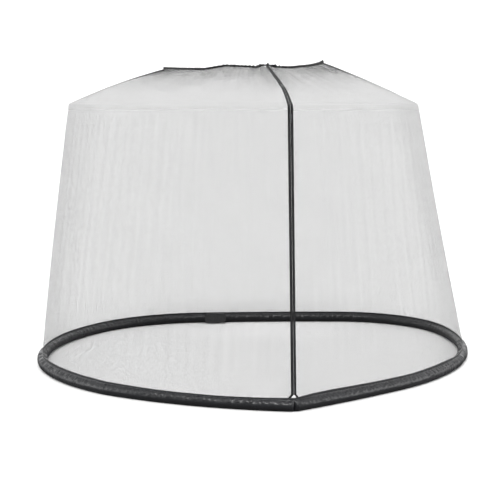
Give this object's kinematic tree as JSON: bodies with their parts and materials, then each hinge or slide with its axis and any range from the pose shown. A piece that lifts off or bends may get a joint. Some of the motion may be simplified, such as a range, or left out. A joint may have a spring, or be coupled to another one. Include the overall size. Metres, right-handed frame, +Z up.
{
  "type": "parasol mosquito net",
  "caption": "Round mosquito net for a parasol: gathered roof opening, flared netting wall, full-height front zip and a water-filled base ring.",
  "frame": {"origin": "on the ground, under the middle of the base ring's box", "axes": "+Z up; the zip and its doors are at the front, towards -Y; +X to the right of someone facing the zip"},
  "size_m": [3.4086, 3.4602, 2.2905],
  "materials": {
    "netting": "open knitted mesh, see-through",
    "sleeve_fabric": "coated plain-weave polyester with a soft sheen",
    "hem_fabric": "gathered woven binding",
    "zip_tape": "twill tape",
    "zip_teeth": "moulded coil",
    "slider_metal": "dark lacquered die-casting",
    "cord": "braided cord",
    "moulded_plastic": "satin black",
    "tube_plastic": "soft welded film",
    "spring_steel": "bright wire"
  },
  "bodies": {
    "root": {"wall_net_side_left": "netting", "roof_net_side_left": "netting", "sleeve_side_left": "sleeve_fabric", "wall_net_rear_left": "netting", "roof_net_rear_left": "netting", "sleeve_rear_left": "sleeve_fabric", "wall_net_corner_left": "netting", "roof_net_corner_left": "netting", "sleeve_corner_left": "sleeve_fabric", "wall_net_rear": "netting", "roof_net_rear": "netting", "sleeve_rear": "sleeve_fabric", "wall_net_corner_right": "netting", "roof_net_corner_right": "netting", "sleeve_corner_right": "sleeve_fabric", "wall_net_rear_right": "netting", "roof_net_rear_right": "netting", "sleeve_rear_right": "sleeve_fabric", "wall_net_side_right": "netting", "roof_net_side_right": "netting", "sleeve_side_right": "sleeve_fabric", "roof_net_front_left": "netting", "roof_net_front_right": "netting", "water_tube_ring": "tube_plastic", "zip_head_tape_left": "zip_tape", "roof_tape_left": "zip_tape", "roof_teeth_left": "zip_teeth", "zip_head_tape_right": "zip_tape", "roof_tape_right": "zip_tape", "roof_teeth_right": "zip_teeth", "hem_casing": "hem_fabric", "drawstring": "cord", "drawstring_knot": "cord", "filler_valve": "moulded_plastic", "valve_flap_tab": "sleeve_fabric"},
    "door_left": {"wall_net_door_left": "netting", "sleeve_door_left": "sleeve_fabric", "water_tube_door_left": "tube_plastic", "wall_tape_left": "zip_tape", "wall_teeth_left": "zip_teeth", "zip_end_box": "zip_teeth"},
    "door_right": {"wall_net_door_right": "netting", "sleeve_door_right": "sleeve_fabric", "water_tube_door_right": "tube_plastic", "wall_tape_right": "zip_tape", "wall_teeth_right": "zip_teeth", "zip_end_pin": "zip_teeth"},
    "wall_slider": {"wall_slider": "slider_metal"},
    "wall_slider_pull": {"wall_slider_pull": "slider_metal"},
    "roof_slider": {"roof_slider": "slider_metal"},
    "roof_slider_pull": {"roof_slider_pull": "slider_metal"},
    "cord_lock": {"cord_lock_barrel": "moulded_plastic", "cord_lock_spring": "spring_steel"},
    "cord_lock_button": {"cord_lock_button": "moulded_plastic"},
    "valve_cap": {"valve_cap": "moulded_plastic"},
    "valve_flap": {"valve_flap": "sleeve_fabric"}
  },
  "joints": [
    {"name": "door_left_swing", "type": "hinge", "parent": "root", "child": "door_left", "pos_m": [-1.054, -1.2132, 0.09], "axis": [-0.0718, -0.0932, -0.9931], "range_deg": [0, 45]},
    {"name": "door_right_swing", "type": "hinge", "parent": "root", "child": "door_right", "pos_m": [0.92392, -1.12894, 0.09], "axis": [-0.0727, 0.0814, 0.994], "range_deg": [0, 45]},
    {"name": "wall_zip", "type": "slide", "parent": "root", "child": "wall_slider", "axis": [0.0084, -0.2162, -0.9763], "range_m": [0, 1.815]},
    {"name": "wall_zip_pull", "type": "hinge", "parent": "wall_slider", "child": "wall_slider_pull", "pos_m": [0.21169, -1.29664, 1.91733], "axis": [-0.9712, -0.2343, 0.0436], "range_deg": [0, 120]},
    {"name": "roof_zip", "type": "slide", "parent": "root", "child": "roof_slider", "axis": [-0.2297, 0.9075, 0.3516], "range_m": [-0.02, 0.36]},
    {"name": "roof_zip_pull", "type": "hinge", "parent": "roof_slider", "child": "roof_slider_pull", "pos_m": [0.16557, -0.9282, 2.12791], "axis": [-0.9686, -0.2486, 0.0088], "range_deg": [0, 120]},
    {"name": "cord_lock_travel", "type": "hinge", "parent": "root", "child": "cord_lock", "pos_m": [-0.1029, 0.0213, 2.275], "axis": [0, 0, 1], "range_deg": [-1.6, 0.4]},
    {"name": "cord_lock_press", "type": "slide", "parent": "cord_lock", "child": "cord_lock_button", "axis": [0, 0, -1], "range_m": [0, 0.004], "stiffness_N_per_m": 400, "springref_m": -0.003, "deforming": ["cord_lock_spring"]},
    {"name": "valve_cap_turn", "type": "hinge", "parent": "root", "child": "valve_cap", "pos_m": [-0.35617, 1.65222, 0.034], "axis": [0.0891, -0.996, 0], "continuous": true},
    {"name": "valve_flap_lift", "type": "hinge", "parent": "root", "child": "valve_flap", "pos_m": [-0.35137, 1.59864, 0.079], "axis": [-0.996, -0.0891, 0], "range_deg": [0, 90]}
  ]
}
